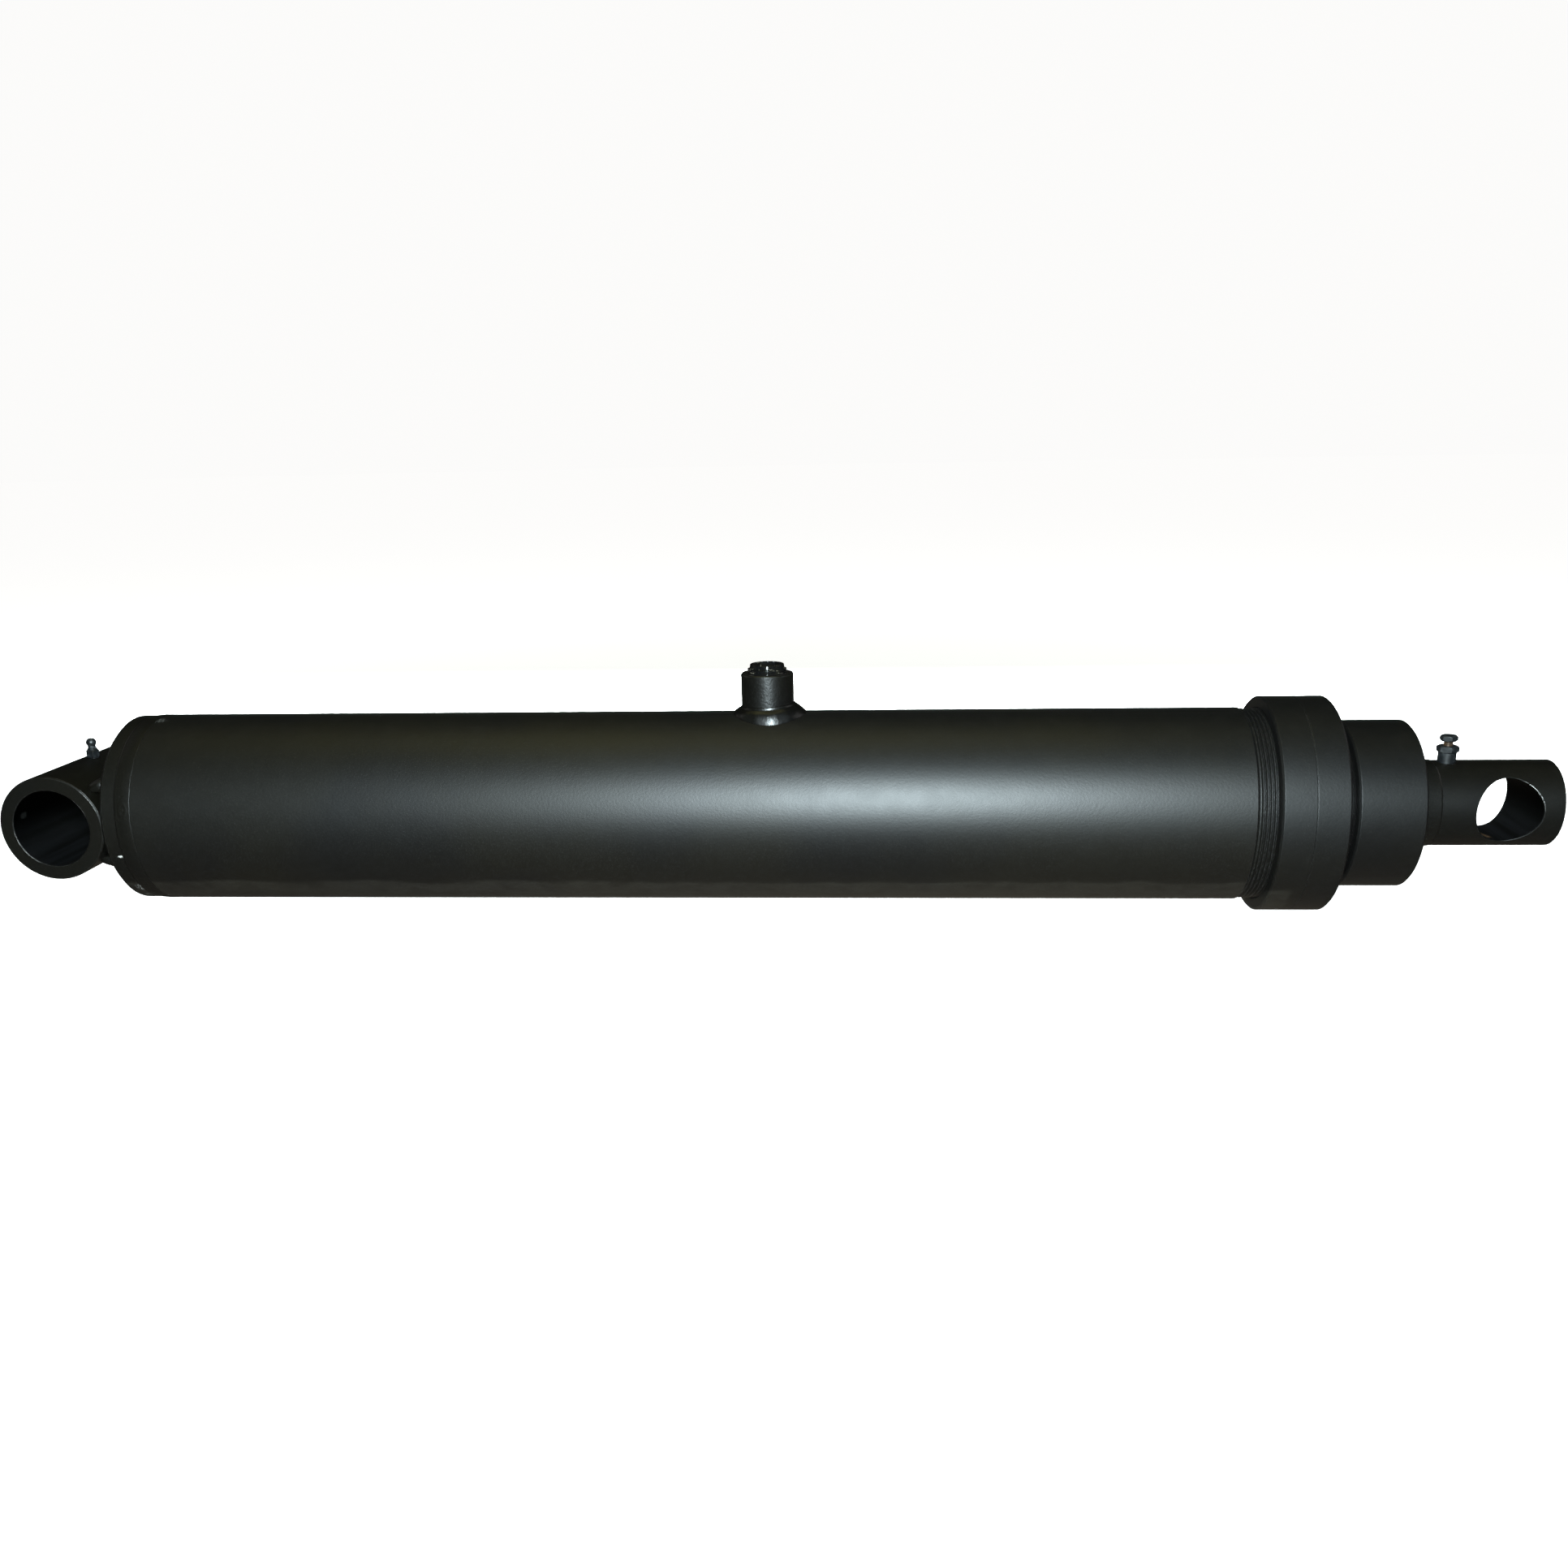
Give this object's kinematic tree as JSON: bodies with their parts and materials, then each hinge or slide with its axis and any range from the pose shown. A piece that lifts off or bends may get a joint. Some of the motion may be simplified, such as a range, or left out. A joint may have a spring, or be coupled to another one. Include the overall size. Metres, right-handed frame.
{
  "type": "telescopic hydraulic cylinder",
  "caption": "Collapsed telescopic hydraulic cylinder with a cross-tube base eye, threaded gland nuts, a side port boss and a drilled round rod end.",
  "frame": {"origin": "middle of the base eye's bore", "axes": "+X along the cylinder to the rod end, +Y along the base pin, +Z towards the oil port"},
  "size_m": [1.0151, 0.1414, 0.1663],
  "materials": {
    "black_paint": "satin black enamel with light orange peel",
    "hard_chrome": "ground and hard chromed, lightly oiled",
    "bearing_bronze": "turned",
    "ring_steel": "turned",
    "packing_rubber": "moulded fabric-reinforced rubber",
    "wiper_rubber": "moulded, oily",
    "plug_plastic": "glossy moulded",
    "zinc_plate": "dulled zinc plate"
  },
  "bodies": {
    "barrel": {"barrel_tube": "black_paint", "base_cap": "black_paint", "base_cap_weld": "black_paint", "base_eye_tube": "black_paint", "base_eye_weld": "black_paint", "grease_fitting": "zinc_plate", "port_boss": "black_paint", "port_weld": "black_paint", "head_nut": "black_paint", "head_bearing": "bearing_bronze", "head_packing_header": "packing_rubber", "head_packing_rings": "packing_rubber", "head_packing_follower": "packing_rubber", "head_wiper": "wiper_rubber"},
    "shipping_plug": {"port_plug": "plug_plastic"},
    "sleeve_carrier": {"sleeve_guide_ring": "bearing_bronze"},
    "sleeve": {"sleeve_tube": "hard_chrome", "sleeve_stop_ring": "ring_steel", "sleeve_retaining_ring": "ring_steel", "sleeve_nut": "black_paint", "sleeve_bearing": "bearing_bronze", "sleeve_packing_header": "packing_rubber", "sleeve_packing_rings": "packing_rubber", "sleeve_packing_follower": "packing_rubber", "sleeve_wiper": "wiper_rubber"},
    "plunger_carrier": {"plunger_guide_ring": "bearing_bronze"},
    "plunger": {"plunger_tube": "hard_chrome", "plunger_stop_ring": "ring_steel", "plunger_retaining_ring": "ring_steel", "plunger_head": "hard_chrome", "rod_end_bar": "black_paint", "rod_end_weld": "black_paint", "bleeder_body": "zinc_plate"},
    "bleeder_needle": {"bleeder_screw": "zinc_plate"}
  },
  "joints": [
    {"name": "sleeve_slide", "type": "slide", "parent": "barrel", "child": "sleeve_carrier", "axis": [1, 0, 0], "range_m": [0, 0.635]},
    {"name": "sleeve_turn", "type": "hinge", "parent": "sleeve_carrier", "child": "sleeve", "pos_m": [0.1, 0, 0], "axis": [1, 0, 0], "continuous": true},
    {"name": "plunger_slide", "type": "slide", "parent": "sleeve", "child": "plunger_carrier", "axis": [1, 0, 0], "range_m": [0, 0.6858]},
    {"name": "plunger_turn", "type": "hinge", "parent": "plunger_carrier", "child": "plunger", "pos_m": [0.1, 0, 0], "axis": [1, 0, 0], "continuous": true},
    {"name": "bleeder_turn", "type": "hinge", "parent": "plunger", "child": "bleeder_needle", "pos_m": [0.9133, 0, 0.041], "axis": [0, 0, 1], "range_deg": [0, 360]},
    {"name": "port_plug_lift", "type": "slide", "parent": "barrel", "child": "shipping_plug", "axis": [0, 0, 1], "range_m": [0, 0.03]}
  ]
}
